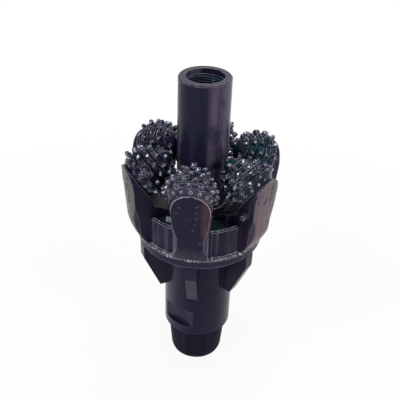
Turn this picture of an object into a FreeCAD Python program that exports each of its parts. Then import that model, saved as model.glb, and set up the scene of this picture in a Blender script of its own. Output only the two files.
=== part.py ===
import FreeCAD, Part
import math
import os

V = FreeCAD.Vector

# A hole opener for rock: a threaded body carries six legs, each with a roller cone on its own journal,
# and a pilot stem that ends in a box connection. Millimetres, +Z towards the box end.
# The origin is on the axis, at the end face of the pin.

# Reach of a cutting or joining shape past the face that it works on
margin = 1.0
reach_out = 10.0

# Arrangement of the cutters
cutter_count = 6
first_azimuth = -90.0

# Rotary pin at the lower end, taper 1:6 on the diameter
pin_length = 127.0
pin_base_radius = 85.7
pin_base_length = 12.7
pin_taper = 1.0 / 12.0
pin_bore_radius = 44.45
pin_end_bevel = 3.0

# Body bar with its two tong flats
body_radius = 101.6
shoulder_bevel = 1.6
neck_length = 323.0
flat_depth = 13.6
flat_height = 62.0
flat_lift = 30.0
flat_azimuth = -120.0

# Ring plate, gussets, and the drum that it carries
ring_radius = 178.0
ring_thickness = 28.0
ring_edge = 3.0
gusset_thickness = 30.0
gusset_toe = 27.0
gusset_height = 154.0
gusset_rim = 43.0
gusset_lip = 1.0
panel_radius = 172.0
panel_thickness = 10.0
drum_height = 88.0
deck_thickness = 16.0
deck_recess = 10.0
leg_seat_depth = 6.6

# Pilot stem and its box connection
stem_radius = 69.85
stem_length = 369.0
stem_bore_radius = 35.0
stem_rim_bevel = 3.0
spigot_radius = 58.0
spigot_length = 60.0
spigot_gap = 0.05
box_counterbore_radius = 51.8
box_counterbore_depth = 15.9
box_mouth_radius = 50.3
box_depth = 117.5
box_floor_bevel = 6.0

# Leg: stem, head and shirttail
leg_half_width = 46.0
head_radius = 51.5
head_lift = 181.0
shoulder_lift = 107.0
shirttail_radius = 223.0
shirttail_rise = 13.0
waist_lift = 64.0
toe_radius = 176.0
toe_bulge = 4.0
stem_bevel = 14.0
bevel_full_lift = 92.0
bevel_end_lift = 165.0
bevel_run_out = 4.0
saddle_depth = 27.0
saddle_fall = 21.6
saddle_back = 6.0
saddle_rise = 4.5

# Cone axis, placed on the leg
journal_tilt = 34.0
cone_setback = 54.4
cone_centre_lift = 195.3
cone_skew = -7.0
cone_turn_step = 11.0

# Cone shell, measured along its axis from the gage plane towards the nose
cone_gage_radius = 66.8
cone_mid_radius = 53.0
cone_nose_radius = 16.0
cone_length = 88.0
nose_cap = 5.0
nose_flat_share = 0.6
nose_rise_share = 0.8
cone_back = 20.0
cone_back_radius = 53.5
heel_edge = 3.0
heel_drop = 1.0
land_width = 12.5
groove_depth = 5.0
groove_corner = 2.0

# Journal, bearing, balls and seal
back_gap = 0.5
journal_radius = 32.0
journal_reach = 30.0
pilot_pin_radius = 17.0
pilot_pin_length = 20.0
running_gap = 0.08
race_position = 22.0
race_lift = 0.5
ball_radius = 6.35
ball_gap = 0.15
ball_count = 12
bush_wall = 4.0
bush_length = 25.0
bush_gap = 1.0
seal_radius = 38.9
seal_length = 7.0
seal_gap = 0.3
ball_hole_radius = 7.0
ball_hole_drop = 10.0

# Carbide inserts
insert_radius = 7.0
insert_seat = 11.0
insert_height = 10.0
insert_collar = 3.0
insert_tip_radius = 5.6
insert_tip_rise = 3.6
row_positions = (3.0, 22.0, 41.0, 59.0, 76.0)
row_counts = (13, 14, 12, 9, 5)
heel_insert_radius = 4.0
heel_insert_seat = 6.5
heel_insert_height = 0.7
heel_insert_count = 16

# Wear buttons on the outer face of each leg
button_radius = 3.6
button_seat = 6.0
button_height = 0.8
button_count = 5
button_pitch = 18.9
button_column = 16.0
button_drift = 0.15
button_top_lift = 205.0
button_pair_offset = -27.6
button_pair_lift = 198.0
button_pair_step = 7.8
button_low_offset = 25.4
button_low_lift = 84.5

# Plug of the grease reservoir in the side of each leg
plug_radius = 8.0
plug_length = 20.0
plug_shank_radius = 6.0
plug_seat = 16.0
plug_socket_radius = 3.0
plug_socket_depth = 8.0
plug_edge = 1.0
plug_place_radius = 184.0
plug_lift = 134.0

# Places that follow from the sizes above
ring_bottom = pin_length + neck_length
ring_top = ring_bottom + ring_thickness
drum_top = ring_top + drum_height
deck_top = drum_top - deck_recess
deck_bottom = deck_top - deck_thickness
stem_top = drum_top + stem_length
pin_end_radius = pin_base_radius - (pin_length - pin_base_length) * pin_taper
panel_inner = panel_radius - panel_thickness
flat_offset = body_radius - flat_depth
leg_seat_offset = body_radius - leg_seat_depth
cone_centre_radius = shirttail_radius - cone_setback
spigot_bottom = drum_top - spigot_length
pitch_angle = 360.0 / cutter_count
tilt = math.radians(journal_tilt)
waist_radius = shirttail_radius - shirttail_rise
waist_z = ring_top + waist_lift
head_z = ring_top + head_lift
shoulder_z = ring_top + shoulder_lift
shirttail_z = head_z + head_radius
shirttail_slope = shirttail_rise / (shirttail_z - waist_z)
leg_top = shirttail_z + head_radius
cone_centre_z = ring_top + cone_centre_lift
bush_inner = journal_radius + running_gap
bush_outer = bush_inner + bush_wall
seal_start = -cone_back
bush_start = seal_start + seal_length + bush_gap
race_radius = journal_radius - race_lift


def azimuth(k):
    return first_azimuth + pitch_angle * k


def turned(shape, angle):
    out = shape.copy()
    out.rotate(V(0, 0, 0), V(0, 0, 1), angle)
    return out


def profile_face(points):
    wire = Part.makePolygon([V(*p) for p in points + points[:1]])
    return Part.Face(wire)


def spin(face, angle=360):
    solid = face.revolve(V(0, 0, 0), V(0, 0, 1), angle)
    if solid.Volume < 0:
        solid.reverse()
    return solid


def revolve_rz(points):
    # points are (radius, height) about the tool's own axis
    return spin(profile_face([(r, 0, z) for r, z in points]))


def ring(outer, inner, z0, z1):
    return revolve_rz([(inner, z0), (outer, z0), (outer, z1), (inner, z1)])


def cone_frame():
    # local Z runs up the journal towards the nose, local X points out and up, local Y is tangential
    s = math.sin(tilt)
    c = math.cos(tilt)
    m = FreeCAD.Matrix(s, 0, -c, cone_centre_radius, 0, 1, 0, cone_skew, c, 0, s, cone_centre_z, 0, 0, 0, 1)
    return FreeCAD.Placement(m)


def in_cone_frame(shape):
    out = shape.copy()
    out.Placement = cone_frame().multiply(out.Placement)
    return out


def cone_point(reach, rise):
    # a point of the leg's middle plane, given along the journal and out from it
    s = math.sin(tilt)
    c = math.cos(tilt)
    return (cone_centre_radius - reach * c + rise * s, cone_centre_z + reach * s + rise * c)


def leg_surface(z):
    # radius of the shirttail's outer face at a height above the waist
    return waist_radius + (z - waist_z) * shirttail_slope


# Body with pin, shoulder, tong flats, leg seats and water way
def make_body():
    bar = revolve_rz([
        (pin_bore_radius, 0),
        (pin_end_radius - pin_end_bevel, 0),
        (pin_end_radius, pin_end_bevel),
        (pin_base_radius, pin_length - pin_base_length),
        (pin_base_radius, pin_length),
        (body_radius - shoulder_bevel, pin_length),
        (body_radius, pin_length + shoulder_bevel),
        (body_radius, drum_top),
        (spigot_radius, drum_top),
        (spigot_radius, spigot_bottom),
        (pin_bore_radius, spigot_bottom),
    ])
    flat_foot = V(flat_offset, -body_radius, pin_length + flat_lift)
    flat = Part.makeBox(body_radius, 2 * body_radius, flat_height, flat_foot)
    bar = bar.cut([turned(flat, flat_azimuth), turned(flat, flat_azimuth + 180)])
    seat_foot = V(leg_seat_offset, -leg_half_width, ring_top)
    seat = Part.makeBox(body_radius, 2 * leg_half_width, drum_height + margin, seat_foot)
    return bar.cut([turned(seat, azimuth(k)) for k in range(cutter_count)])


# Pilot stem: a spigot in the body, a plain tube, and the tapered box at the top
def make_stem():
    box_end_radius = box_mouth_radius - (box_depth - box_counterbore_depth) * pin_taper
    return revolve_rz([
        (stem_bore_radius, spigot_bottom),
        (spigot_radius - spigot_gap, spigot_bottom),
        (spigot_radius - spigot_gap, drum_top),
        (stem_radius, drum_top),
        (stem_radius, stem_top - stem_rim_bevel),
        (stem_radius - stem_rim_bevel, stem_top),
        (box_counterbore_radius, stem_top),
        (box_counterbore_radius, stem_top - box_counterbore_depth),
        (box_mouth_radius, stem_top - box_counterbore_depth),
        (box_end_radius, stem_top - box_depth),
        (stem_bore_radius, stem_top - box_depth - box_floor_bevel),
    ])


def make_ring_plate():
    return revolve_rz([
        (body_radius, ring_bottom),
        (ring_radius - ring_edge, ring_bottom),
        (ring_radius, ring_bottom + ring_edge),
        (ring_radius, ring_top - ring_edge),
        (ring_radius - ring_edge, ring_top),
        (body_radius, ring_top),
    ])


# Gusset: an upright plate from the body bar out to the rim of the ring plate
def make_gusset():
    half = gusset_thickness / 2
    root = body_radius - gusset_thickness
    foot = ring_bottom - gusset_height
    points = [
        (root, -half, foot),
        (body_radius + gusset_toe, -half, foot),
        (ring_radius - gusset_lip, -half, ring_bottom - gusset_rim),
        (ring_radius, -half, ring_bottom),
        (root, -half, ring_bottom),
    ]
    plate = profile_face(points).extrude(V(0, gusset_thickness, 0))
    return plate.cut(Part.makeCylinder(body_radius, gusset_height + 2 * margin, V(0, 0, foot - margin)))


def leg_slots(low, high):
    foot = V(leg_seat_offset, -leg_half_width, low - margin)
    slot = Part.makeBox(ring_radius, 2 * leg_half_width, high - low + 2 * margin, foot)
    return [turned(slot, azimuth(k)) for k in range(cutter_count)]


def sectors(outer, inner, low, high):
    # what is left of a ring between the legs, ordered by azimuth from the first gap
    left = ring(outer, inner, low, high).cut(leg_slots(low, high)).Solids
    first = math.radians(first_azimuth + pitch_angle / 2)

    def place(solid):
        c = solid.CenterOfMass
        return (math.atan2(c.y, c.x) - first + 0.1) % (2 * math.pi)

    return sorted(left, key=place)


# Leg: the forged arm, its shirttail, and the journal that carries the cone
def leg_envelope():
    toe = V(toe_radius, 0, ring_top)
    waist = V(waist_radius, 0, waist_z)
    top = V(leg_surface(leg_top), 0, leg_top)
    middle = (toe + waist) * 0.5 + V(toe_bulge, 0, -toe_bulge)
    edges = [
        Part.Arc(toe, middle, waist).toShape(),
        Part.makeLine(waist, top),
        Part.makeLine(top, V(1, 0, leg_top)),
        Part.makeLine(V(1, 0, leg_top), V(1, 0, ring_top)),
        Part.makeLine(V(1, 0, ring_top), toe),
    ]
    face = Part.Face(Part.Wire(edges))
    return spin(turned(face, -pitch_angle / 2), pitch_angle)


def leg_outline():
    # front view of the leg: a straight stem, then lines that meet the round head at a tangent
    x = leg_seat_offset
    w = leg_half_width
    r = head_radius
    rise = head_z - shoulder_z
    away = math.hypot(w, rise)
    run = math.sqrt(away * away - r * r)
    lean = math.asin(r / away) - math.atan2(w, rise)
    bow = w + run * math.sin(lean)
    neck = shoulder_z + run * math.cos(lean)
    edges = [
        Part.makeLine(V(x, -w, ring_top), V(x, w, ring_top)),
        Part.makeLine(V(x, w, ring_top), V(x, w, shoulder_z)),
        Part.makeLine(V(x, w, shoulder_z), V(x, bow, neck)),
        Part.Arc(V(x, bow, neck), V(x, 0, head_z + r), V(x, -bow, neck)).toShape(),
        Part.makeLine(V(x, -bow, neck), V(x, -w, shoulder_z)),
        Part.makeLine(V(x, -w, shoulder_z), V(x, -w, ring_top)),
    ]
    return Part.Face(Part.Wire(edges)).extrude(V(shirttail_radius, 0, 0))


def leg_side_view():
    # side view of the leg: seat on the body, saddle under the cone, face square to the journal
    foot_in = cone_point(-cone_back - back_gap, saddle_rise - head_radius)
    head_out = cone_point(-cone_back - back_gap, 2 * head_radius)
    saddle_z = foot_in[1] - saddle_fall
    side = 2 * head_radius
    outside = 2 * shirttail_radius
    points = [
        (leg_seat_offset, -side, ring_top),
        (outside, -side, ring_top),
        (outside, -side, head_out[1]),
        (head_out[0], -side, head_out[1]),
        (foot_in[0], -side, foot_in[1]),
        (foot_in[0] - saddle_back, -side, saddle_z),
        (leg_seat_offset, -side, saddle_z - saddle_depth),
    ]
    return profile_face(points).extrude(V(0, 2 * side, 0))


def bevel_cutters():
    # planes that take the long outer corners off the stem and run out at the head
    b = stem_bevel
    far = 3 * b
    bevel_full_z = ring_top + bevel_full_lift
    bevel_end_z = ring_top + bevel_end_lift
    cutters = []
    for side in (-1, 1):
        wires = []
        for z, lift in ((ring_top - b, 0), (bevel_full_z, 0), (bevel_end_z, b + bevel_run_out)):
            x = leg_surface(z) + lift
            y = leg_half_width
            pts = [(x - b, y), (x - b + far, y - far), (x - b + far, y + far), (x - b, y + far)]
            wires.append(Part.makePolygon([V(px, side * py, z) for px, py in pts + pts[:1]]))
        for low, high in zip(wires[:-1], wires[1:]):
            cutters.append(Part.makeLoft([low, high], True, True))
    return cutters


def ball_hole():
    # runs from the shirttail through the journal to the ball race
    inner = cone_point(race_position, -race_radius + ball_radius)
    outer = (shirttail_radius + reach_out, cone_centre_z - cone_back - ball_hole_drop)
    start = V(inner[0], cone_skew, inner[1])
    way = V(outer[0], cone_skew, outer[1]) - start
    return start, way


def make_journal():
    root = cone_back + back_gap + reach_out
    pin = Part.makeCylinder(journal_radius, journal_reach + root, V(0, 0, -root))
    pilot = Part.makeCylinder(pilot_pin_radius, pilot_pin_length + margin, V(0, 0, journal_reach - margin))
    race = Part.makeTorus(race_radius, ball_radius + ball_gap, V(0, 0, race_position))
    return in_cone_frame(pin.fuse(pilot).cut(race))


def make_leg():
    arm = leg_envelope().common(leg_outline()).common(leg_side_view())
    arm = arm.cut(bevel_cutters())
    arm = arm.fuse(make_journal())
    start, way = ball_hole()
    arm = arm.cut(Part.makeCylinder(ball_hole_radius, way.Length, start, way))
    arm = arm.cut(button_pins(0) + [reservoir_plug_hole()])
    return arm.removeSplitter()


def make_ball_plug():
    start, way = ball_hole()
    plug = Part.makeCylinder(ball_hole_radius, way.Length, start, way)
    plug = plug.common(leg_envelope())
    race = in_cone_frame(Part.makeTorus(race_radius, ball_radius + 2 * ball_gap, V(0, 0, race_position)))
    rest = plug.cut(race).Solids
    return max(rest, key=lambda s: s.Volume)


def make_balls():
    balls = []
    for i in range(ball_count):
        a = 2 * math.pi * (i + 0.5) / ball_count
        centre = V(race_radius * math.cos(a), race_radius * math.sin(a), race_position)
        balls.append(in_cone_frame(Part.makeSphere(ball_radius, centre)))
    return balls


# Cone shell: crowned outside with a land for each row of inserts, bored for the bearing inside
def crown(s):
    # radius of the shell's crown, a parabola through the gage, middle and nose radii
    half = cone_length / 2
    a = cone_gage_radius * (s - half) * (s - cone_length) / (half * cone_length)
    b = cone_mid_radius * s * (cone_length - s) / (half * half)
    c = cone_nose_radius * s * (s - half) / (cone_length * half)
    return a + b + c


def cone_outer_points():
    points = [(cone_back_radius, -cone_back), (crown(0) - heel_drop, -heel_edge)]
    half = land_width / 2
    last = len(row_positions) - 1
    for i, s in enumerate(row_positions):
        low = max(s - half, 0)
        points.append((crown(low), low))
        points.append((crown(s), s))
        points.append((crown(s + half), s + half))
        if i < last:
            nxt = row_positions[i + 1] - half
            points.append((crown(s + half) - groove_depth, s + half + groove_corner))
            points.append((crown(nxt) - groove_depth, nxt - groove_corner))
    points.append((cone_nose_radius, cone_length))
    points.append((cone_nose_radius * nose_flat_share, cone_length + nose_cap * nose_rise_share))
    points.append((0, cone_length + nose_cap))
    return points


def make_cone_shell(pins):
    clear = 2 * running_gap
    pilot_end = journal_reach + pilot_pin_length + margin
    bore = [
        (0, pilot_end),
        (pilot_pin_radius + clear, pilot_end),
        (pilot_pin_radius + clear, journal_reach + back_gap),
        (journal_radius + seal_gap, journal_reach + back_gap),
        (journal_radius + seal_gap, bush_start + bush_length),
        (bush_outer, bush_start + bush_length),
        (bush_outer, seal_start + seal_length),
        (seal_radius, seal_start + seal_length),
        (seal_radius, seal_start),
    ]
    shell = revolve_rz(cone_outer_points() + bore)
    race = Part.makeTorus(race_radius, ball_radius + ball_gap, V(0, 0, race_position))
    return shell.cut([race] + pins)


# Inserts: pressed pins with a rounded cutting tip, in rows square to the crown
def dome_pin(radius, seat, collar, tip_radius, tip_start, height):
    # a pin that narrows above its collar and ends in a spherical cap
    rise = height - tip_start
    ball = (tip_radius ** 2 + rise ** 2) / (2 * rise)
    half = math.asin(tip_radius / ball) / 2
    middle = V(ball * math.sin(half), 0, height - ball + ball * math.cos(half))
    foot = V(0, 0, -seat)
    top = V(0, 0, height)
    rim = [foot, V(radius, 0, -seat), V(radius, 0, collar)]
    if tip_radius < radius:
        rim.append(V(tip_radius, 0, tip_start))
    edges = [Part.makeLine(p, q) for p, q in zip(rim[:-1], rim[1:])]
    edges.append(Part.Arc(rim[-1], middle, top).toShape())
    edges.append(Part.makeLine(top, foot))
    return spin(Part.Face(Part.Wire(edges)))


def on_revolved(shape, radius, s, slope, angle):
    # stands a pin on a surface of revolution, its axis square to that surface
    lean = math.degrees(math.atan(slope))
    out = shape.copy()
    out.rotate(V(0, 0, 0), V(0, 1, 0), 90 + lean)
    out.translate(V(radius, 0, s))
    out.rotate(V(0, 0, 0), V(0, 0, 1), angle)
    return out


def crown_slope(s):
    return (crown(s + 1) - crown(s - 1)) / 2


def place_rows(tooth, heel):
    out = []
    for row, (s, count) in enumerate(zip(row_positions, row_counts)):
        for i in range(count):
            angle = 360.0 * (i + 0.5 * (row % 2)) / count
            out.append(on_revolved(tooth, crown(s), s, crown_slope(s), angle))
    tip = tooth.copy()
    tip.translate(V(0, 0, cone_length + nose_cap - insert_collar / 2))
    out.append(tip)
    run = cone_back - heel_edge
    rise = crown(0) - heel_drop - cone_back_radius
    middle = -heel_edge - run / 2
    for i in range(heel_insert_count):
        angle = 360.0 * (i + 0.25) / heel_insert_count
        out.append(on_revolved(heel, cone_back_radius + rise / 2, middle, rise / run, angle))
    return out


def insert_holes():
    deep = Part.makeCylinder(insert_radius, insert_seat + reach_out, V(0, 0, -insert_seat))
    shallow = Part.makeCylinder(heel_insert_radius, heel_insert_seat + reach_out, V(0, 0, -heel_insert_seat))
    return place_rows(deep, shallow)


def make_inserts():
    tip_start = insert_height - insert_tip_rise
    tooth = dome_pin(insert_radius, insert_seat, insert_collar, insert_tip_radius, tip_start, insert_height)
    heel = dome_pin(heel_insert_radius, heel_insert_seat, 0, heel_insert_radius, 0, heel_insert_height)
    return place_rows(tooth, heel)


# Wear buttons on the outer face of the leg
def button_places():
    # offset from the middle of the face, and height
    places = []
    for i in range(button_count):
        offset = button_column - button_drift * i ** 3
        places.append((offset, ring_top + button_top_lift - button_pitch * i))
    for i in range(2):
        offset = button_pair_offset - button_pair_step * i
        places.append((offset, ring_top + button_pair_lift - button_pitch * i))
    places.append((button_low_offset, ring_top + button_low_lift))
    return places


def button_pins(height):
    if height:
        pin = dome_pin(button_radius, button_seat, 0, button_radius, 0, height)
    else:
        pin = Part.makeCylinder(button_radius, button_seat + reach_out, V(0, 0, -button_seat))
    lean = 90 - math.degrees(math.atan(shirttail_slope))
    pins = []
    for offset, z in button_places():
        r = leg_surface(z)
        out = pin.copy()
        out.rotate(V(0, 0, 0), V(0, 1, 0), lean)
        out.translate(V(r, 0, z))
        out.rotate(V(0, 0, 0), V(0, 0, 1), math.degrees(offset / r))
        pins.append(out)
    return pins


# Plug of the grease reservoir, screwed into the side of the leg
def in_leg_side(shape):
    # local Z points out of the leg's side face
    out = shape.copy()
    out.rotate(V(0, 0, 0), V(1, 0, 0), 90)
    out.translate(V(plug_place_radius, -leg_half_width, ring_top + plug_lift))
    return out


def reservoir_plug_hole():
    # the threaded hole, and a spot face for the collar
    hole = Part.makeCylinder(plug_shank_radius, plug_seat + margin, V(0, 0, -plug_seat))
    return in_leg_side(hole.fuse(Part.makeCylinder(plug_radius + plug_edge, plug_length)))


def make_reservoir_plug():
    return in_leg_side(revolve_rz([
        (0, -plug_seat),
        (plug_shank_radius, -plug_seat),
        (plug_shank_radius, 0),
        (plug_radius, 0),
        (plug_radius, plug_length - plug_edge),
        (plug_radius - plug_edge, plug_length),
        (plug_socket_radius, plug_length),
        (plug_socket_radius, plug_length - plug_socket_depth),
        (0, plug_length - plug_socket_depth),
    ]))


def make_bush():
    return in_cone_frame(ring(bush_outer, bush_inner, bush_start, bush_start + bush_length))


def make_seal():
    inner = journal_radius + seal_gap
    return in_cone_frame(ring(seal_radius, inner, seal_start + seal_gap, seal_start + seal_length))


def save(name, shapes):
    shape = shapes[0] if len(shapes) == 1 else Part.makeCompound(shapes)
    shape.exportStep("parts/" + name + ".step")


def around(shapes, k):
    return [turned(s, azimuth(k)) for s in shapes]


def main():
    os.makedirs("parts", exist_ok=True)
    save("main_body", [make_body()])
    save("pilot_stem", [make_stem()])
    save("ring_plate", [make_ring_plate()])
    gusset = make_gusset()
    leg = make_leg()
    plug = make_ball_plug()
    balls = make_balls()
    bush = make_bush()
    seal = make_seal()
    inserts = make_inserts()
    shell = make_cone_shell(insert_holes())
    buttons = button_pins(button_height)
    reservoir_plug = make_reservoir_plug()
    panels = sectors(panel_radius, panel_inner, ring_top, drum_top)
    decks = sectors(panel_inner, body_radius, deck_bottom, deck_top)
    groups = {"ball_plugs": [], "retaining_balls": [], "shirttail_buttons": [], "reservoir_plugs": []}
    for k in range(cutter_count):
        n = str(k + 1)
        save("gusset_" + n, around([gusset], k))
        save("leg_" + n, around([leg], k))
        cone = [in_cone_frame(turned(s, cone_turn_step * k)) for s in [shell] + inserts]
        save("cone_shell_" + n, around(cone[:1], k))
        save("cone_inserts_" + n, around(cone[1:], k))
        save("bearing_bush_" + n, around([bush], k))
        save("seal_ring_" + n, around([seal], k))
        save("skirt_panel_" + n, [panels[k]])
        save("deck_plate_" + n, [decks[k]])
        groups["ball_plugs"] += around([plug], k)
        groups["retaining_balls"] += around(balls, k)
        groups["shirttail_buttons"] += around(buttons, k)
        groups["reservoir_plugs"] += around([reservoir_plug], k)
    for name, shapes in groups.items():
        save(name, shapes)


main()
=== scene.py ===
import math
import bmesh
import bpy
from mathutils import Matrix, Vector, noise


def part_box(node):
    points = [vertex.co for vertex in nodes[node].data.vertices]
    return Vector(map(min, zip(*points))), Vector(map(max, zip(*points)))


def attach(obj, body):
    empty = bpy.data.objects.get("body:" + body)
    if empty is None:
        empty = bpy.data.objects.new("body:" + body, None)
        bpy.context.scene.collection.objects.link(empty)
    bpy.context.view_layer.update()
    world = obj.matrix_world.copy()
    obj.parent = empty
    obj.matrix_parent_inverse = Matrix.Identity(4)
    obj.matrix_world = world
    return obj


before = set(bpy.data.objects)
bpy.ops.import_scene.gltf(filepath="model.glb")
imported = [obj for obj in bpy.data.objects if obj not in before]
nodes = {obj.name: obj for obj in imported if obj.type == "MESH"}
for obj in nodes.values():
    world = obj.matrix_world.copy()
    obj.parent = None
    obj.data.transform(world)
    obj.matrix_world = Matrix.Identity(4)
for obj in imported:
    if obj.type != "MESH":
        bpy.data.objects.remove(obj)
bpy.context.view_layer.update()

scene = bpy.context.scene
legCount = 6
legAngles = [math.radians(-90 + 60 * k) for k in range(legCount)]
print("frame loaded:", len(nodes), "nodes")


# Shader helpers: a node with its values set, a socket that takes a link or a value, and small sums

def addNode(tree, kind, **values):
    node = tree.nodes.new(kind)
    for key, value in values.items():
        if hasattr(node, key):
            setattr(node, key, value)
        else:
            node.inputs[key.replace("_", " ")].default_value = value
    return node


def feed(tree, socket, value):
    if hasattr(value, "is_output"):
        tree.links.new(value, socket)
    else:
        socket.default_value = value


def newGroup(name, inputs, outputs):
    tree = bpy.data.node_groups.new(name, "ShaderNodeTree")
    for label, kind, value in inputs:
        socket = tree.interface.new_socket(name=label, in_out="INPUT", socket_type=kind)
        if value is not None:
            socket.default_value = value
    for label, kind in outputs:
        tree.interface.new_socket(name=label, in_out="OUTPUT", socket_type=kind)
    return tree, tree.nodes.new("NodeGroupInput").outputs, tree.nodes.new("NodeGroupOutput").inputs


def useGroup(tree, group, place, **values):
    node = tree.nodes.new("ShaderNodeGroup")
    node.node_tree = group
    tree.links.new(place, node.inputs["Vector"])
    for key, value in values.items():
        node.inputs[key].default_value = value
    return node.outputs


def maths(tree, operation, a, b, clamp=False):
    node = addNode(tree, "ShaderNodeMath", operation=operation, use_clamp=clamp)
    feed(tree, node.inputs[0], a)
    feed(tree, node.inputs[1], b)
    return node.outputs[0]


def blendColours(tree, amount, first, second):
    node = addNode(tree, "ShaderNodeMix", data_type="RGBA")
    for slot, value in (("Factor_Float", amount), ("A_Color", first), ("B_Color", second)):
        feed(tree, next(s for s in node.inputs if s.identifier == slot), value)
    return next(s for s in node.outputs if s.identifier == "Result_Color")


def ramp(tree, value, low, high):
    node = addNode(tree, "ShaderNodeMapRange", interpolation_type="SMOOTHSTEP")
    node.inputs["From Min"].default_value = low
    node.inputs["From Max"].default_value = high
    tree.links.new(value, node.inputs["Value"])
    return node.outputs["Result"]


def noiseField(tree, place, size, **values):
    field = addNode(tree, "ShaderNodeTexNoise", **values)
    tree.links.new(place, field.inputs["Vector"])
    feed(tree, field.inputs["Scale"], size)
    return field.outputs[0]


def vectorMaths(tree, operation, first, second=None):
    node = addNode(tree, "ShaderNodeVectorMath", operation=operation)
    tree.links.new(first, node.inputs[0])
    if second is not None:
        tree.links.new(second, node.inputs[1])
    return node.outputs


def heightOf(tree, vector):
    split = tree.nodes.new("ShaderNodeSeparateXYZ")
    tree.links.new(vector, split.inputs[0])
    return split.outputs["Z"]


# Shared effects. The ranges say between which values of a noise or a slope each mask opens.

effects = {"coolRange": (0.45, 0.68), "warmRange": (0.5, 0.72), "warmRatio": 1.7, "streakRange": (0.48, 0.66),
           "edgeRange": (0.02, 0.14), "wearHighlightRange": (0.36, 0.62), "wearHighlightRise": 0.05, "wearHighlightLess": 0.1,
           "gritRange": (0.3, 0.75), "upRange": (0.1, 1.0), "upShare": 0.7, "dustRange": (0.42, 0.78),
           "patchSize": 14.0, "patchRange": (0.25, 0.55), "fadeRise": 0.04, "bevelSamples": 4}


def makeDrift():
    # slow change of the paint's tint over the surface
    tree, start, end = newGroup(
        "colourDrift",
        [("Vector", "NodeSocketVector", None), ("Base", "NodeSocketColor", (0.02, 0.02, 0.03, 1)),
         ("Cool", "NodeSocketColor", (0.01, 0.03, 0.04, 1)), ("Warm", "NodeSocketColor", (0.04, 0.02, 0.03, 1)),
         ("Size", "NodeSocketFloat", 9.0), ("Amount", "NodeSocketFloat", 0.5)],
        [("Color", "NodeSocketColor")])
    coolNoise = noiseField(tree, start["Vector"], start["Size"], Detail=4.0, Roughness=0.6)
    warmSize = maths(tree, "MULTIPLY", start["Size"], effects["warmRatio"])
    warmNoise = noiseField(tree, start["Vector"], warmSize, Detail=5.0, Roughness=0.65, Distortion=0.4)
    cool = maths(tree, "MULTIPLY", ramp(tree, coolNoise, *effects["coolRange"]), start["Amount"])
    warm = maths(tree, "MULTIPLY", ramp(tree, warmNoise, *effects["warmRange"]), start["Amount"])
    first = blendColours(tree, cool, start["Base"], start["Cool"])
    tree.links.new(blendColours(tree, warm, first, start["Warm"]), end["Color"])
    return tree


def makeStreaks():
    # upright runs and smears: noise that is drawn out along the axis
    tree, start, end = newGroup(
        "runStreaks",
        [("Vector", "NodeSocketVector", None), ("Size", "NodeSocketFloat", 30.0),
         ("Stretch", "NodeSocketFloat", 0.05)],
        [("Mask", "NodeSocketFloat")])
    scale = addNode(tree, "ShaderNodeCombineXYZ", X=1.0, Y=1.0)
    tree.links.new(start["Stretch"], scale.inputs["Z"])
    drawn = vectorMaths(tree, "MULTIPLY", start["Vector"], scale.outputs[0])[0]
    runs = noiseField(tree, drawn, start["Size"], Detail=3.0, Roughness=0.55)
    tree.links.new(ramp(tree, runs, *effects["streakRange"]), end["Mask"])
    return tree


def makeEdgeWearAndHighlight():
    # where paint is rubbed thin, and painted highlights along the same edges: the rounded normal leaves the true one
    # along edges, broken by noise
    tree, start, end = newGroup(
        "edgeWearAndHighlight",
        [("Vector", "NodeSocketVector", None), ("Width", "NodeSocketFloat", 0.002),
         ("Break", "NodeSocketFloat", 60.0), ("Keep", "NodeSocketFloat", 0.0), ("Low", "NodeSocketFloat", -1.0)],
        [("Mask", "NodeSocketFloat")])
    soft = addNode(tree, "ShaderNodeBevel", samples=effects["bevelSamples"])
    tree.links.new(start["Width"], soft.inputs["Radius"])
    geometry = tree.nodes.new("ShaderNodeNewGeometry")
    along = vectorMaths(tree, "DOT_PRODUCT", soft.outputs["Normal"], geometry.outputs["Normal"])["Value"]
    edge = ramp(tree, maths(tree, "SUBTRACT", 1.0, along), *effects["edgeRange"])
    broken = noiseField(tree, start["Vector"], start["Break"], Detail=6.0, Roughness=0.7)
    kept = maths(tree, "ADD", broken, start["Keep"])
    # below the height Low less of the rubbed paint and painted highlight is kept
    above = maths(tree, "SUBTRACT", heightOf(tree, start["Vector"]), start["Low"])
    below = maths(tree, "SUBTRACT", 1.0, ramp(tree, above, 0.0, effects["wearHighlightRise"]))
    kept = maths(tree, "SUBTRACT", kept, maths(tree, "MULTIPLY", below, effects["wearHighlightLess"]))
    tree.links.new(maths(tree, "MULTIPLY", edge, ramp(tree, kept, *effects["wearHighlightRange"])), end["Mask"])
    return tree


def makeGrain():
    # the skin of sprayed paint over rough steel: broad lumps, orange peel and fine grit
    tree, start, end = newGroup(
        "paintGrain",
        [("Vector", "NodeSocketVector", None), ("Lumps", "NodeSocketFloat", 0.4), ("Peel", "NodeSocketFloat", 0.3),
         ("Grit", "NodeSocketFloat", 0.3), ("Size", "NodeSocketFloat", 60.0)],
        [("Height", "NodeSocketFloat"), ("Rough", "NodeSocketFloat")])
    total = None
    for label, factor, detail in (("Lumps", 1.0, 3.0), ("Peel", 5.0, 2.0), ("Grit", 22.0, 4.0)):
        size = maths(tree, "MULTIPLY", start["Size"], factor)
        layer = noiseField(tree, start["Vector"], size, Detail=detail, Roughness=0.6)
        part = maths(tree, "MULTIPLY", layer, start[label])
        total = part if total is None else maths(tree, "ADD", total, part)
    tree.links.new(total, end["Height"])
    # the last layer, the grit, also varies the roughness
    tree.links.new(ramp(tree, layer, *effects["gritRange"]), end["Rough"])
    return tree


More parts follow.
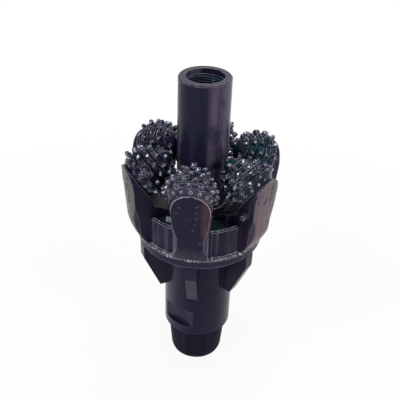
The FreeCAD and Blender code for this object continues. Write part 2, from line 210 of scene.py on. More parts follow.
def makeDustAndGlints():
    # pale dust that lies on what faces up and clings in blotches; on the welds the same mask carries painted glints
    tree, start, end = newGroup(
        "dustFall",
        [("Vector", "NodeSocketVector", None), ("Amount", "NodeSocketFloat", 0.3),
         ("Size", "NodeSocketFloat", 30.0)],
        [("Mask", "NodeSocketFloat")])
    geometry = tree.nodes.new("ShaderNodeNewGeometry")
    facing = ramp(tree, heightOf(tree, geometry.outputs["Normal"]), *effects["upRange"])
    facing = maths(tree, "ADD", maths(tree, "MULTIPLY", facing, effects["upShare"]), 1.0 - effects["upShare"])
    blotch = noiseField(tree, start["Vector"], start["Size"], Detail=7.0, Roughness=0.68)
    speck = maths(tree, "MULTIPLY", facing, ramp(tree, blotch, *effects["dustRange"]))
    tree.links.new(maths(tree, "MULTIPLY", speck, start["Amount"], True), end["Mask"])
    return tree


def makePaintedSideLight():
    # painted light on the faces turned one way, or with Back at -1 also on those turned the opposite way
    tree, start, end = newGroup(
        "paintedSideLight",
        [("Vector", "NodeSocketVector", None), ("Direction", "NodeSocketVector", (0.74, -0.67, 0.0)),
         ("Amount", "NodeSocketFloat", 0.5), ("Narrow", "NodeSocketFloat", 0.0), ("Spread", "NodeSocketFloat", 0.4),
         ("Low", "NodeSocketFloat", -1.0), ("Back", "NodeSocketFloat", 1.0)],
        [("Mask", "NodeSocketFloat")])
    own = tree.nodes.new("ShaderNodeTexCoord")
    facing = vectorMaths(tree, "DOT_PRODUCT", own.outputs["Normal"], start["Direction"])["Value"]
    other = maths(tree, "MULTIPLY", facing, start["Back"])
    facing = maths(tree, "SUBTRACT", maths(tree, "MAXIMUM", facing, other), start["Narrow"])
    facing = maths(tree, "DIVIDE", facing, start["Spread"])
    patches = noiseField(tree, start["Vector"], effects["patchSize"], Detail=5.0, Roughness=0.6)
    faded = maths(tree, "MULTIPLY", ramp(tree, facing, 0.0, 1.0), ramp(tree, patches, *effects["patchRange"]))
    above = maths(tree, "SUBTRACT", heightOf(tree, start["Vector"]), start["Low"])
    faded = maths(tree, "MULTIPLY", faded, ramp(tree, above, 0.0, effects["fadeRise"]))
    tree.links.new(maths(tree, "MULTIPLY", faded, start["Amount"], True), end["Mask"])
    return tree


colourDrift = makeDrift()
paintedSideLight = makePaintedSideLight()
runStreaks = makeStreaks()
edgeWearAndHighlight = makeEdgeWearAndHighlight()
paintGrain = makeGrain()
dustFall = makeDustAndGlints()


# Painted steel: every painted piece uses this with its own settings

def levelWay(degrees):
    return (math.cos(math.radians(degrees)), math.sin(math.radians(degrees)), 0.0)


def turningMarks(tree, place, settings):
    # lathe lines round the axis
    wave = addNode(tree, "ShaderNodeTexWave", wave_type="BANDS", bands_direction="Z", Distortion=0.3, Detail=3.0,
                   Scale=settings["turningScale"], Detail_Scale=2.0)
    tree.links.new(place, wave.inputs["Vector"])
    return maths(tree, "MULTIPLY", wave.outputs["Fac"], settings["turning"])


def paintColour(tree, place, settings, streakMask, dustMask):
    # layers from the bottom up: paint, painted light on two opposite sides, painted light on one side, runs, edges of
    # rubbed paint and painted highlight, dust (painted glints on the welds)
    colour = useGroup(tree, colourDrift, place, Base=settings["base"], Cool=settings["cool"],
                      Warm=settings["warm"], Size=settings["driftSize"], Amount=settings["drift"])["Color"]
    if settings["sideLight"]:
        sides = useGroup(tree, paintedSideLight, place, Amount=settings["sideLight"], Narrow=settings["sideNarrow"],
                         Spread=settings["sideSpread"], Back=-1.0, Direction=levelWay(settings["sideWay"]))
        colour = blendColours(tree, sides["Mask"], colour, settings["sideColour"])
    fade = useGroup(tree, paintedSideLight, place, Amount=settings["fade"], Narrow=settings["fadeNarrow"],
                    Spread=settings["fadeSpread"], Low=settings["fadeLow"],
                    Direction=levelWay(settings["fadeWay"]))
    edgeWearHighlight = useGroup(tree, edgeWearAndHighlight, place, Width=settings["edgeWidth"], Break=settings["edgeBreak"],
                   Keep=settings["edgeKeep"], Low=settings["edgeLow"])
    colour = blendColours(tree, fade["Mask"], colour, settings["fadeColour"])
    run = maths(tree, "MULTIPLY", streakMask, settings["streaks"])
    colour = blendColours(tree, run, colour, settings["streakColour"])
    edge = maths(tree, "MULTIPLY", edgeWearHighlight["Mask"], settings["edgeAmount"])
    colour = blendColours(tree, edge, colour, settings["edgeColour"])
    return blendColours(tree, dustMask, colour, settings["dustColour"])


def paintedSteel(name, settings):
    material = bpy.data.materials.new(name)
    material.use_nodes = True
    tree = material.node_tree
    shader = tree.nodes["Principled BSDF"]
    place = tree.nodes.new("ShaderNodeTexCoord").outputs["Object"]
    streakMask = useGroup(tree, runStreaks, place, Size=settings["streakSize"],
                          Stretch=settings["streakStretch"])["Mask"]
    dustMask = useGroup(tree, dustFall, place, Amount=settings["dust"], Size=settings["dustSize"])["Mask"]
    grain = useGroup(tree, paintGrain, place, Lumps=settings["lumps"], Peel=settings["peel"],
                     Grit=settings["grit"], Size=settings["grainSize"])
    tree.links.new(paintColour(tree, place, settings, streakMask, dustMask), shader.inputs["Base Color"])
    uneven = maths(tree, "MULTIPLY", grain["Rough"], settings["roughSpread"])
    rough = maths(tree, "ADD", settings["rough"], uneven)
    rough = maths(tree, "ADD", rough, maths(tree, "MULTIPLY", dustMask, settings["dustRough"]), True)
    tree.links.new(rough, shader.inputs["Roughness"])
    height = grain["Height"]
    if settings["runHeight"]:
        height = maths(tree, "ADD", height, maths(tree, "MULTIPLY", streakMask, settings["runHeight"]))
    if settings["turning"]:
        height = maths(tree, "ADD", height, turningMarks(tree, place, settings))
    bump = addNode(tree, "ShaderNodeBump", Strength=settings["bump"], Distance=settings["bumpDepth"])
    tree.links.new(height, bump.inputs["Height"])
    tree.links.new(bump.outputs["Normal"], shader.inputs["Normal"])
    for label, key in (("Metallic", "metallic"), ("Coat Weight", "coat"), ("Coat Roughness", "coatRough"),
                       ("Specular IOR Level", "specular"), ("Specular Tint", "tint")):
        shader.inputs[label].default_value = settings[key]
    return material


# The plain dark violet paint. Ways are in degrees round the axis, lengths in metres.

inkPaint = {
    "base": (0.0125, 0.0092, 0.031, 1), "cool": (0.006, 0.014, 0.022, 1), "warm": (0.024, 0.012, 0.028, 1),
    "driftSize": 6.0, "drift": 0.75,
    "streaks": 0.0, "streakSize": 30.0, "streakStretch": 0.05, "streakColour": (0.03, 0.022, 0.045, 1),
    "runHeight": 0.0,
    # Share, colour, direction, narrowness, spread and lowest height of the painted light on one side; then painted
    # light on two opposite sides; then the edge marks, rubbed paint with painted highlight
    "fade": 0.0, "fadeColour": (0.07, 0.052, 0.09, 1), "fadeWay": -42.0, "fadeNarrow": 0.35, "fadeSpread": 0.4,
    "fadeLow": -1.0,
    "sideLight": 0.0, "sideColour": (0.07, 0.065, 0.1, 1), "sideWay": 0.0, "sideNarrow": 0.3, "sideSpread": 0.3,
    "edgeWidth": 0.002, "edgeBreak": 55.0, "edgeKeep": 0.0, "edgeLow": -1.0, "edgeAmount": 0.4,
    "edgeColour": (0.15, 0.135, 0.19, 1),
    "lumps": 0.35, "peel": 0.25, "grit": 0.2, "grainSize": 40.0, "bump": 0.25, "bumpDepth": 0.001,
    "turning": 0.0, "turningScale": 140.0,
    "dust": 0.08, "dustSize": 26.0, "dustColour": (0.15, 0.13, 0.16, 1), "dustRough": 0.45,
    "rough": 0.2, "roughSpread": 0.16, "metallic": 0.0, "coat": 0.0, "coatRough": 0.12, "specular": 0.14,
    "tint": (0.76, 0.7, 1.0, 1)}


def paint(name, look, **changes):
    return paintedSteel(name, {**inkPaint, **look, **changes})


# Body, stem and drum

# The stem has painted light on its left and right sides, a painted highlight band on its front right side, and bright
# edges of rubbed paint and painted highlight
stemPaint = paint(
    "stemPaint", {}, base=(0.0135, 0.0118, 0.033, 1), warm=(0.014, 0.009, 0.014, 1), cool=(0.004, 0.016, 0.022, 1),
    drift=0.5, sideLight=0.5, sideWay=6.875, sideNarrow=0.78, lumps=0.15, peel=0.12, turning=0.2,
    turningScale=160.0, bump=0.12, streaks=0.5, streakSize=60.0, streakStretch=0.012,
    streakColour=(0.028, 0.011, 0.022, 1), fade=1.0, fadeColour=(0.097, 0.081, 0.132, 1), fadeWay=-26.0,
    fadeNarrow=0.6, fadeSpread=0.2, edgeKeep=0.06, edgeAmount=1.0, edgeWidth=0.0024, edgeBreak=35.0,
    edgeColour=(0.5, 0.48, 0.57, 1), dust=0.03)
# The body has painted light on its front left side
bodyPaint = paint(
    "bodyPaint", {}, base=(0.0095, 0.0075, 0.0265, 1), lumps=0.25, peel=0.2, turning=0.15, turningScale=120.0,
    bump=0.16, streaks=0.3, streakSize=26.0, streakStretch=0.06, streakColour=(0.017, 0.013, 0.036, 1),
    edgeKeep=0.1, edgeAmount=0.7, fade=0.7, fadeColour=(0.034, 0.03, 0.062, 1), fadeWay=-142.0, fadeNarrow=0.72,
    fadeSpread=0.25)
threadLook = {"lumps": 0.2, "peel": 0.2, "bump": 0.15}
threadPaint = paint("threadPaint", threadLook, base=(0.012, 0.0105, 0.027, 1), rough=0.16, edgeAmount=0.0)
# The bore's thread: a lighter teal copy of the thread paint, painted light in the shaded bore, with painted glints on
# the crest edges
boxThreadPaint = paint(
    "boxThreadPaint", threadLook, base=(0.012, 0.034, 0.05, 1), cool=(0.008, 0.06, 0.075, 1), rough=0.08,
    roughSpread=0.1, specular=0.5, edgeAmount=0.6, edgeWidth=0.001)
# The ring plate's edges carry bright lines of rubbed paint and painted highlight, and a little painted light on one
# side
platePaint = paint(
    "platePaint", {}, base=(0.018, 0.0145, 0.04, 1), lumps=0.6, peel=0.35, grit=0.35, rough=0.24, bump=0.4,
    dust=0.22, edgeKeep=0.16, edgeAmount=1.0, fade=0.1, edgeWidth=0.004, edgeColour=(0.42, 0.4, 0.5, 1))
# The deck is a lighter teal copy of the paint: painted light in the shaded gaps between the legs
deckPaint = paint(
    "deckPaint", {}, base=(0.016, 0.034, 0.048, 1), cool=(0.008, 0.08, 0.095, 1), warm=(0.016, 0.014, 0.011, 1),
    lumps=0.7, peel=0.5, grit=0.5, rough=0.4, bump=0.5, dust=0.03, specular=0.1, edgeAmount=0.1)
# A little painted light on one side, and edges of rubbed paint and painted highlight
gussetPaint = paint(
    "gussetPaint", {}, lumps=0.5, peel=0.3, grit=0.3, rough=0.22, bump=0.4, edgeAmount=0.28, fade=0.1,
    edgeWidth=0.003, edgeColour=(0.2, 0.185, 0.25, 1))
# Bright edges of rubbed paint and painted highlight along the panels
skirtPaint = paint(
    "skirtPaint", {}, lumps=0.5, peel=0.3, grit=0.3, bump=0.45, dust=0.1, streaks=0.8, streakSize=75.0,
    streakStretch=0.03, streakColour=(0.075, 0.066, 0.105, 1), runHeight=0.7, edgeKeep=0.14, edgeAmount=1.0,
    edgeWidth=0.003, edgeColour=(0.55, 0.53, 0.62, 1))

# Legs: each with painted light on one side, rose on leg 2, olive on leg 6, and a brown strip on the right bevel of
# leg 1

legLook = {"driftSize": 9.0, "lumps": 0.6, "peel": 0.45, "grit": 0.4, "rough": 0.24, "roughSpread": 0.2, "bump": 0.36,
           "dust": 0.1, "dustSize": 40.0, "edgeKeep": 0.12, "edgeAmount": 0.9, "edgeColour": (0.55, 0.52, 0.6, 1),
           "edgeWidth": 0.0038, "streaks": 0.25, "streakSize": 24.0, "streakStretch": 0.12, "specular": 0.15,
           "fade": 0.8, "fadeColour": (0.075, 0.052, 0.058, 1), "fadeWay": -58.0, "fadeNarrow": 0.8}
roseLook = {**legLook, "fade": 1.0, "fadeColour": (0.125, 0.082, 0.094, 1), "fadeWay": -22.0, "fadeNarrow": 0.45,
            "edgeAmount": 0.4, "streaks": 0.5, "streakSize": 42.0, "streakStretch": 0.08,
            "streakColour": (0.2, 0.155, 0.18, 1), "dust": 0.06}
oliveLook = {**legLook, "fade": 0.95, "fadeColour": (0.075, 0.077, 0.066, 1), "fadeWay": -158.0,
             "fadeNarrow": 0.45, "edgeAmount": 0.4, "dust": 0.06, "dustSize": 70.0}
legPaint = paint("legPaint", legLook)
roseLegPaint = paint("roseLegPaint", roseLook)
oliveLegPaint = paint("oliveLegPaint", oliveLook)
# Leg 1: a brown strip of painted light on the right bevel, painted light on its left and right faces, and a bright
# painted highlight rim round its head
brownLegPaint = paint(
    "brownLegPaint", legLook, fade=1.0, fadeColour=(0.07, 0.038, 0.043, 1), fadeWay=0.0, fadeNarrow=0.115,
    fadeSpread=0.05, fadeLow=0.555, edgeKeep=0.08, edgeBreak=30.0, edgeLow=0.64, edgeWidth=0.0034, edgeAmount=1.0,
    edgeColour=(0.9, 0.87, 0.97, 1), rough=0.4, sideLight=0.8, sideColour=(0.08, 0.074, 0.112, 1))
# The pads take their leg's paint, painted light included, without the edge marks
plugCoverPaint = paint("plugCoverPaint", legLook, edgeAmount=0.0)
rosePadPaint = paint("rosePadPaint", roseLook, edgeAmount=0.0)
olivePadPaint = paint("olivePadPaint", oliveLook, edgeAmount=0.0)

# Cones and their inserts

# Cone paint: the near-white edge colour is painted highlight on the groove rims, with some rubbed paint
coneLook = {"base": (0.008, 0.007, 0.024, 1), "cool": (0.003, 0.024, 0.032, 1), "warm": (0.026, 0.019, 0.048, 1),
            "drift": 0.9, "driftSize": 15.0, "lumps": 0.9, "peel": 0.6, "grit": 0.4, "rough": 0.05,
            "roughSpread": 0.14, "bump": 0.5, "specular": 0.11, "edgeAmount": 1.0, "edgeKeep": -0.04,
            "edgeWidth": 0.0028, "edgeBreak": 20.0, "edgeColour": (0.85, 0.83, 0.93, 1), "dust": 0.04,
            "dustSize": 60.0, "dustColour": (0.2, 0.24, 0.27, 1)}
# The pale patches are bare worn carbide and painted glints; the bright edges are painted highlight
carbideLook = {"base": (0.026, 0.023, 0.042, 1), "cool": (0.012, 0.045, 0.056, 1), "warm": (0.85, 0.83, 0.95, 1),
               "drift": 1.0, "driftSize": 70.0, "lumps": 0.6, "peel": 0.4, "grit": 0.3, "rough": 0.04,
               "roughSpread": 0.14, "bump": 0.3, "metallic": 0.7, "specular": 0.6, "edgeAmount": 0.65,
               "edgeWidth": 0.0022, "edgeBreak": 160.0, "edgeColour": (0.9, 0.88, 0.95, 1)}
conePaint = paint("conePaint", coneLook)
# Cones 2 and 3: the pale teal edge colour is painted highlight
tealConePaint = paint(
    "tealConePaint", coneLook, base=(0.006, 0.013, 0.024, 1), cool=(0.007, 0.066, 0.078, 1),
    edgeColour=(0.72, 0.86, 0.9, 1))
# The front cone: a copy with painted light on the side that faces the front
frontConePaint = paint(
    "frontConePaint", coneLook, fade=1.0, fadeColour=(0.066, 0.058, 0.094, 1), fadeWay=-86.0, fadeNarrow=0.45,
    fadeSpread=0.3)
carbidePaint = paint("carbidePaint", carbideLook)
# The front cone's inserts: a lighter copy with painted light on the side that faces the front
frontCarbidePaint = paint(
    "frontCarbidePaint", carbideLook, base=(0.11, 0.1, 0.145, 1), warm=(0.75, 0.73, 0.82, 1), edgeKeep=0.12,
    fade=1.0, fadeWay=-86.0, fadeNarrow=0.5, fadeSpread=0.25, fadeColour=(0.06, 0.055, 0.085, 1))

# Small fittings, welds and the bearing parts

buttonPaint = paint(
    "buttonPaint", {}, base=(0.05, 0.045, 0.062, 1), drift=0.4, lumps=0.3, edgeAmount=0.0, specular=0.4)
plugSteel = paint(
    "plugSteel", {}, base=(0.16, 0.155, 0.18, 1), drift=0.4, metallic=0.6, edgeAmount=0.8,
    edgeColour=(0.5, 0.48, 0.52, 1), lumps=0.5, specular=0.5)
beadLook = {"cool": (0.008, 0.018, 0.03, 1), "lumps": 2.4, "peel": 1.3, "grit": 0.6, "grainSize": 90.0, "bump": 0.8,
            "edgeAmount": 0.0}
# The near-white patches and specks on the welds are painted glints
weldPaint = paint(
    "weldPaint", beadLook, base=(0.022, 0.019, 0.036, 1), warm=(0.95, 0.93, 1.0, 1), drift=1.0, driftSize=85.0,
    rough=0.06, coat=0.3, specular=0.6, dust=0.3, dustSize=95.0, dustColour=(0.95, 0.93, 1.0, 1))
dullWeldPaint = paint(
    "dullWeldPaint", beadLook, warm=(0.04, 0.034, 0.055, 1), drift=0.8, driftSize=40.0, specular=0.16, dust=0.15)
metalLook = {"tint": (1, 1, 1, 1), "metallic": 1.0, "lumps": 0.05, "peel": 0.05, "dust": 0.05, "edgeAmount": 0.2,
             "specular": 0.5}
bearingSteel = paint(
    "bearingSteel", metalLook, base=(0.5, 0.5, 0.52, 1), cool=(0.42, 0.44, 0.47, 1), warm=(0.5, 0.45, 0.4, 1),
    grit=0.1, rough=0.16, roughSpread=0.1, bump=0.05, edgeColour=(0.7, 0.7, 0.7, 1))
bearingBronze = paint(
    "bearingBronze", metalLook, base=(0.5, 0.3, 0.13, 1), cool=(0.36, 0.26, 0.14, 1), warm=(0.55, 0.3, 0.12, 1),
    grit=0.15, rough=0.3, bump=0.1, turning=0.2, turningScale=200.0)
sealRubber = paint(
    "sealRubber", {}, tint=(1, 1, 1, 1), base=(0.018, 0.018, 0.018, 1), cool=(0.014, 0.014, 0.016, 1),
    warm=(0.03, 0.028, 0.026, 1), lumps=0.2, peel=0.3, grit=0.6, rough=0.55, roughSpread=0.2, bump=0.2,
    specular=0.4, edgeAmount=0.1)

# A node takes the finish of its own name, or else of its name without the number

nodeFinish = {
    "main_body": bodyPaint, "pilot_stem": stemPaint, "ring_plate": platePaint, "gusset": gussetPaint,
    "skirt_panel": skirtPaint, "deck_plate": deckPaint, "leg": legPaint, "leg_1": brownLegPaint,
    "leg_2": roseLegPaint, "leg_6": oliveLegPaint, "cone_shell": conePaint, "cone_shell_1": frontConePaint,
    "cone_shell_2": tealConePaint, "cone_shell_3": tealConePaint, "cone_inserts": carbidePaint,
    "cone_inserts_1": frontCarbidePaint, "shirttail_buttons": buttonPaint, "reservoir_plugs": plugSteel,
    "ball_plugs": plugCoverPaint, "retaining_balls": bearingSteel, "bearing_bush": bearingBronze,
    "seal_ring": sealRubber}
for nodeName, nodeObject in nodes.items():
    stem = nodeName if nodeName in nodeFinish else nodeName.rsplit("_", 1)[0]
    for materialSlot in nodeObject.material_slots:
        materialSlot.material = nodeFinish[stem]
print("finishes placed on", len(nodes), "nodes")


# Meshes: finished pieces sit at the origin, ride on the fixed body and take a finish

fixedBody = "body"
mergeReach = 0.00001


def finishPiece(name, mesh, material):
    bmesh.ops.remove_doubles(mesh, verts=mesh.verts, dist=mergeReach)
    bmesh.ops.recalc_face_normals(mesh, faces=mesh.faces)
    data = bpy.data.meshes.new(name)
    mesh.to_mesh(data)
    mesh.free()
    for face in data.polygons:
        face.use_smooth = True
    piece = bpy.data.objects.new(name, data)
    scene.collection.objects.link(piece)
    data.materials.append(material)
    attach(piece, fixedBody)


def turned(angle):
    return Matrix.Rotation(angle, 4, "Z")


def sweep(mesh, **way):
    # carries the ring of vertices in a mesh along an arc, a line or a helix; open ends are closed
    ring = list(mesh.verts) + list(mesh.edges)
    bmesh.ops.spin(mesh, geom=ring, cent=(0, 0, 0), axis=(0, 0, 1), **way)
    rims = [edge for edge in mesh.edges if edge.is_boundary]
    if rims:
        bmesh.ops.holes_fill(mesh, edges=rims)


def joinInto(mesh, part):
    data = bpy.data.meshes.new("part")
    part.to_mesh(data)
    part.free()
    mesh.from_mesh(data)
    bpy.data.meshes.remove(data)


def uprightCircle(sides, size, place):
    # a new mesh with a small upright circle, its middle at the place given
    part = bmesh.new()
    bmesh.ops.create_circle(part, cap_ends=False, segments=sides, radius=size)
    upright = Matrix.Translation(place) @ Matrix.Rotation(math.pi / 2, 4, "X")
    bmesh.ops.transform(part, matrix=upright, verts=part.verts)
    return part


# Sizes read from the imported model

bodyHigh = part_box("main_body")[1]
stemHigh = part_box("pilot_stem")[1]
ringLow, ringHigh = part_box("ring_plate")
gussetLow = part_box("gusset_1")[0]
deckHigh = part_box("deck_plate_1")[1]
bodyRadius = bodyHigh[0]
ringRadius = ringHigh[0]
drumTop = bodyHigh[2]
stemRadius = stemHigh[0]


# Weld beads: a ripple for every puddle, with slow wander and spatter lumps

weldBead = {"sides": 9, "pitch": 0.0062, "stepsPerRipple": 4, "ripple": 0.30, "wander": 0.45, "wanderLength": 0.019,
            "lump": 0.34, "lumpSize": 210}


def rippleVerts(verts, along, centre, seed):
    # scales each vertex about the bead's centre line
    for vert in verts:
        where = along(vert.co)
        middle = centre(vert.co)
        puddle = abs(math.sin(math.pi * where / weldBead["pitch"]))
        slow = noise.noise(Vector((where / weldBead["wanderLength"], seed, 3.0)))
        lump = noise.noise(vert.co * weldBead["lumpSize"] + Vector((seed, 0, 0)))
        grow = 1 - weldBead["ripple"] * (1 - puddle) + weldBead["wander"] * slow + weldBead["lump"] * lump
        vert.co = middle + (vert.co - middle) * grow


def roundBead(mesh, radius, height, size, start=0.0, turn=math.tau, seed=1.0):
    ripples = max(4, round(radius * turn / weldBead["pitch"]))
    part = uprightCircle(weldBead["sides"], size, (radius, 0, height))
    bmesh.ops.transform(part, matrix=turned(start), verts=part.verts)
    whole = turn > math.tau - 0.001
    sweep(part, angle=turn, steps=ripples * weldBead["stepsPerRipple"], use_merge=whole)
    rippleVerts(part.verts, lambda p: (math.atan2(p.y, p.x) % math.tau) * radius,
                lambda p: Vector((p.x, p.y, 0)).normalized() * radius + Vector((0, 0, height)), seed)
    joinInto(mesh, part)


def straightBead(mesh, start, end, size, seed=1.0):
    start, end = Vector(start), Vector(end)
    way = end - start
    steps = max(2, round(way.length / weldBead["pitch"])) * weldBead["stepsPerRipple"]
    part = bmesh.new()
    bmesh.ops.create_circle(part, cap_ends=False, segments=weldBead["sides"], radius=size)
    sweep(part, angle=0, dvec=(0, 0, way.length / steps), steps=steps)
    rippleVerts(part.verts, lambda p: p.z, lambda p: Vector((0, 0, p.z)), seed)
    turn = Matrix.Translation(start) @ way.to_track_quat("Z", "Y").to_matrix().to_4x4()
    bmesh.ops.transform(part, matrix=turn, verts=part.verts)
    joinInto(mesh, part)


def legPoint(angle, radius, side, height):
    # a point at a radius from the axis and at a distance to one side of a leg's middle plane
    reach = math.sqrt(radius * radius - side * side)
    return turned(angle) @ Vector((reach, side, height))


# Drum welds: the ring's top edge, the panels' ends and tops, the foot of the stem

drumWeld = {
    "rings": [{"inset": 0.0015, "lift": 0.001, "size": 0.0062, "seed": 2.0},
              {"inset": 0.006, "lift": 0.006, "size": 0.0062 * 0.75, "seed": 9.0}],
    "endBead": 0.0040, "topBead": 0.0046, "topShares": (1.0, 0.62), "stemBead": 0.006, "legHalf": 0.046,
    "panelRadius": 0.172, "panelWall": 0.010, "stand": 0.001, "endGap": 0.002, "barGap": 0.004, "stemGap": 0.002}
ringWeld = bmesh.new()
for row in drumWeld["rings"]:
    roundBead(ringWeld, ringRadius - row["inset"], ringHigh[2] + row["lift"], row["size"], seed=row["seed"])
finishPiece("ringWeld", ringWeld, weldPaint)

panelWelds = bmesh.new()
topWelds = bmesh.new()
panelRadius = drumWeld["panelRadius"]
innerRadius = panelRadius - drumWeld["panelWall"]
stand = drumWeld["stand"]
gap = math.asin((drumWeld["legHalf"] + drumWeld["endGap"]) / panelRadius)
for k, angle in enumerate(legAngles):
    for side in (-1, 1):
        edgeY = side * (drumWeld["legHalf"] + stand)
        foot = legPoint(angle, panelRadius, edgeY, ringHigh[2])
        top = legPoint(angle, panelRadius, edgeY, drumTop)
        straightBead(panelWelds, foot, top, drumWeld["endBead"], seed=11.0 + 2 * k + side)
        inner = legPoint(angle, bodyRadius + drumWeld["barGap"], edgeY, deckHigh[2] + stand)
        outer = legPoint(angle, innerRadius, edgeY, deckHigh[2] + stand)
        straightBead(panelWelds, inner, outer, drumWeld["endBead"], seed=31.0 + 2 * k + side)
    roundBead(topWelds, innerRadius + stand, drumTop - stand, drumWeld["topBead"] * drumWeld["topShares"][k % 2],
              start=angle + gap, turn=math.tau / legCount - 2 * gap, seed=51.0 + k)
finishPiece("panelWelds", panelWelds, dullWeldPaint)
finishPiece("topWelds", topWelds, weldPaint)

stemWeld = bmesh.new()
roundBead(stemWeld, stemRadius + drumWeld["stemGap"], drumTop + drumWeld["stemGap"], drumWeld["stemBead"], seed=4.0)
finishPiece("stemWeld", stemWeld, weldPaint)


# Gusset welds: down both sides to the body bar, under the ring, and round the ring's underside

gussetWeld = {"bead": 0.0045, "half": 0.015, "stand": 0.001, "footLift": 0.003, "rimInset": 0.006, "clear": 0.003}
gussetWelds = bmesh.new()
barRadius = bodyRadius + gussetWeld["stand"]
clear = math.asin((gussetWeld["half"] + gussetWeld["clear"]) / bodyRadius)
for k, angle in enumerate(legAngles):
    for side in (-1, 1):
        edgeY = side * (gussetWeld["half"] + gussetWeld["stand"])
        low = legPoint(angle, barRadius, edgeY, gussetLow[2] + gussetWeld["footLift"])
        high = legPoint(angle, barRadius, edgeY, ringLow[2])
        rim = legPoint(angle, ringRadius - gussetWeld["rimInset"], edgeY, ringLow[2])
        straightBead(gussetWelds, low, high, gussetWeld["bead"], seed=71.0 + 2 * k + side)
        straightBead(gussetWelds, high, rim, gussetWeld["bead"], seed=91.0 + 2 * k + side)
    roundBead(gussetWelds, barRadius, ringLow[2] - gussetWeld["stand"], gussetWeld["bead"], start=angle + clear,
              turn=math.tau / legCount - 2 * clear, seed=111.0 + k)
finishPiece("gussetWelds", gussetWelds, dullWeldPaint)
print("weld beads laid")


# Braze pads: a thin pool of braze round each wear button, and the ground weld over each ball plug

padForm = {
    "buttonPad": 0.0066, "plugPad": 0.0125, "proud": 0.0005, "slope": 0.86, "sides": 20, "face": (0.542, 0.7105),
    "radii": (0.210, 0.223), "column": 0.016, "columnCount": 5, "drift": 0.00015, "topLift": 0.205, "pitch": 0.0189,
    "pair": (-0.0276, 0.198), "pairCount": 2, "pairShift": 0.0078, "low": (0.0254, 0.0845), "plug": (-0.007, 0.1686),
    "finishes": {"rosePads": (rosePadPaint, (1,)), "olivePads": (olivePadPaint, (5,)),
                 "brazePads": (plugCoverPaint, (0, 2, 3, 4))}}
(faceFoot, faceTop), (footRadius, topRadius) = padForm["face"], padForm["radii"]


def facePad(mesh, angle, offset, lift, size):
    # a low disc with a sloping rim, square to the leg's outer face, at a lift above the ring
    height = ringHigh[2] + lift
    share = (height - faceFoot) / (faceTop - faceFoot)
    radius = footRadius + share * (topRadius - footRadius)
    lean = math.atan2(topRadius - footRadius, faceTop - faceFoot)
    part = bmesh.new()
    bmesh.ops.create_cone(part, cap_ends=True, segments=padForm["sides"], radius1=size,
                          radius2=size * padForm["slope"], depth=2 * padForm["proud"])
    stand = (turned(angle + offset / radius) @ Matrix.Translation((radius, 0, height))
             @ Matrix.Rotation(math.pi / 2 + lean, 4, "Y"))
    bmesh.ops.transform(part, matrix=stand, verts=part.verts)
    joinInto(mesh, part)


def legPads(mesh, angle):
    size, pitch = padForm["buttonPad"], padForm["pitch"]
    for i in range(padForm["columnCount"]):
        facePad(mesh, angle, padForm["column"] - padForm["drift"] * i ** 3, padForm["topLift"] - pitch * i, size)
    pairSide, pairLift = padForm["pair"]
    for i in range(padForm["pairCount"]):
        facePad(mesh, angle, pairSide - padForm["pairShift"] * i, pairLift - pitch * i, size)
    facePad(mesh, angle, *padForm["low"], size)
    facePad(mesh, angle, *padForm["plug"], padForm["plugPad"])


for padName, (padPaint, legs) in padForm["finishes"].items():
    pads = bmesh.new()
    for k in legs:
        legPads(pads, legAngles[k])
    finishPiece(padName, pads, padPaint)
print("braze pads set")


# Threads: a ridge wound along the taper, run out into the wall at both ends

threadForm = {"pitch": 0.00635, "stepsPerTurn": 48, "ridge": 0.0026, "sides": 4, "taper": 1 / 12, "runOut": 0.006}


def threadRidge(mesh, wall, low, high):
    # wall gives the radius of the bare taper at a height
    turns = (high - low) / threadForm["pitch"]
    steps = round(turns * threadForm["stepsPerTurn"])
    base = wall(low)
    part = uprightCircle(threadForm["sides"], threadForm["ridge"], (base, 0, low))
    sweep(part, angle=math.tau * turns, steps=steps, dvec=(0, 0, (high - low) / steps))
    for vert in part.verts:
        away = math.hypot(vert.co.x, vert.co.y)
        fade = min(1.0, max(0.0, min(vert.co.z - low, high - vert.co.z) / threadForm["runOut"]))
        radius = wall(vert.co.z) + (away - base) * fade
        vert.co.x *= radius / away
        vert.co.y *= radius / away
    joinInto(mesh, part)


pinForm = {"baseRadius": 0.0857, "baseLength": 0.0127, "length": 0.127, "start": 0.006}
boxForm = {"mouthRadius": 0.0503, "counterbore": 0.0159, "depth": 0.1175, "footGap": 0.004}
pinTop = pinForm["length"] - pinForm["baseLength"]
pinThread = bmesh.new()
threadRidge(pinThread, lambda z: pinForm["baseRadius"] - (pinTop - z) * threadForm["taper"],
            pinForm["start"], pinTop)
finishPiece("pinThread", pinThread, threadPaint)
boxTop = stemHigh[2] - boxForm["counterbore"]
boxThread = bmesh.new()
threadRidge(boxThread, lambda z: boxForm["mouthRadius"] - (boxTop - z) * threadForm["taper"],
            stemHigh[2] - boxForm["depth"] + boxForm["footGap"], boxTop)
finishPiece("boxThread", boxThread, boxThreadPaint)
print("threads wound")


# Camera: from above the front, set by fitting the rims of stem, ring and pin

cameraSet = {"place": (0.1806, -1.5152, 1.5588), "turn": 6.9, "down": 33.24, "roll": 1.99, "lens": 57.6,
             "sensor": 36}
camera = bpy.data.objects.new("viewCamera", bpy.data.cameras.new("viewCamera"))
scene.collection.objects.link(camera)
camera.data.lens = cameraSet["lens"]
camera.data.sensor_width = cameraSet["sensor"]
camera.matrix_world = (Matrix.Translation(cameraSet["place"]) @ turned(math.radians(cameraSet["turn"]))
                       @ Matrix.Rotation(math.radians(90 - cameraSet["down"]), 4, "X")
                       @ turned(math.radians(cameraSet["roll"])))
scene.camera = camera


# Studio: white to the camera, plain soft lamps on the object

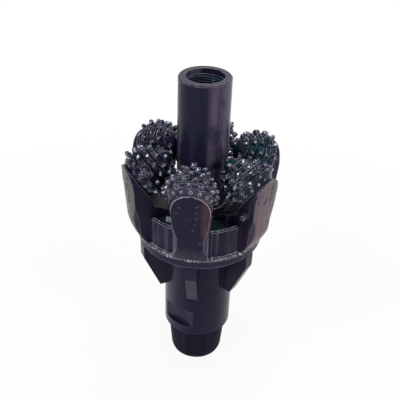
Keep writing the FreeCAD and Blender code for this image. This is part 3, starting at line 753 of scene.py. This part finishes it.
studio = {
    "white": (1, 1, 1, 1), "worldLevel": 0.32, "aim": (0, 0, 0.5), "floorSize": 12, "floorColour": (0.9, 0.9, 0.9, 1),
    "floorRough": 0.9, "floorShade": 0.09, "shadeReach": (0.5, 1.7),
    "lamps": [("keyLamp", (-1.7, -1.5, 2.0), 0.5, 24.0), ("fillLamp", (2.0, -1.1, 1.3), 0.7, 14.0),
              ("backLamp", (0.2, 1.8, 2.7), 1.4, 20.0), ("topLamp", (0.1, -0.2, 3.0), 1.4, 16.0)]}


def backgroundRays(tree):
    # one for what the camera sees, also by way of a glossy or clear surface
    rays = tree.nodes.new("ShaderNodeLightPath")
    straight = maths(tree, "MAXIMUM", rays.outputs["Is Camera Ray"], rays.outputs["Is Transmission Ray"])
    return maths(tree, "MAXIMUM", straight, rays.outputs["Is Glossy Ray"])


def mixedSurface(tree, share, first, second, target):
    # the first shader where the share is 0, the second where it is 1
    mixer = tree.nodes.new("ShaderNodeMixShader")
    tree.links.new(share, mixer.inputs[0])
    tree.links.new(first.outputs[0], mixer.inputs[1])
    tree.links.new(second.outputs[0], mixer.inputs[2])
    tree.links.new(mixer.outputs[0], target.inputs["Surface"])


world = bpy.data.worlds.new("studioWorld")
scene.world = world
world.use_nodes = True
sky = world.node_tree
sky.nodes.clear()
worldOut = sky.nodes.new("ShaderNodeOutputWorld")
plain = addNode(sky, "ShaderNodeBackground", Color=studio["white"], Strength=studio["worldLevel"])
bright = addNode(sky, "ShaderNodeBackground", Color=studio["white"], Strength=1.0)
mixedSurface(sky, backgroundRays(sky), plain, bright, worldOut)
for lampName, lampPlace, lampSize, lampPower in studio["lamps"]:
    lamp = bpy.data.objects.new(lampName, bpy.data.lights.new(lampName, "AREA"))
    lamp.data.shape = "SQUARE"
    lamp.data.size = lampSize
    lamp.data.energy = lampPower
    scene.collection.objects.link(lamp)
    aim = (Vector(studio["aim"]) - Vector(lampPlace)).to_track_quat("-Z", "Y").to_matrix().to_4x4()
    lamp.matrix_world = Matrix.Translation(lampPlace) @ aim

floorMesh = bmesh.new()
bmesh.ops.create_grid(floorMesh, x_segments=1, y_segments=1, size=studio["floorSize"])
floorData = bpy.data.meshes.new("studioFloor")
floorMesh.to_mesh(floorData)
floorMesh.free()
floor = bpy.data.objects.new("studioFloor", floorData)
scene.collection.objects.link(floor)
floorPaint = bpy.data.materials.new("floorPaint")
floorPaint.use_nodes = True
floorData.materials.append(floorPaint)
floorTree = floorPaint.node_tree
floorShader = floorTree.nodes["Principled BSDF"]
floorShader.inputs["Base Color"].default_value = studio["floorColour"]
floorShader.inputs["Roughness"].default_value = studio["floorRough"]
floorShader.inputs["Specular IOR Level"].default_value = 0.0
floorGlow = addNode(floorTree, "ShaderNodeEmission", Color=studio["white"], Strength=1.0)
floorPlace = floorTree.nodes.new("ShaderNodeTexCoord").outputs["Object"]
away = vectorMaths(floorTree, "LENGTH", floorPlace)["Value"]
near = maths(floorTree, "SUBTRACT", 1.0, ramp(floorTree, away, *studio["shadeReach"]))
shown = maths(floorTree, "SUBTRACT", 1.0, maths(floorTree, "MULTIPLY", near, studio["floorShade"]))
glowShare = maths(floorTree, "MULTIPLY", backgroundRays(floorTree), shown)
mixedSurface(floorTree, glowShare, floorShader, floorGlow, floorTree.nodes["Material Output"])
print("camera, lamps and floor ready")

scene.view_settings.view_transform = "Standard"
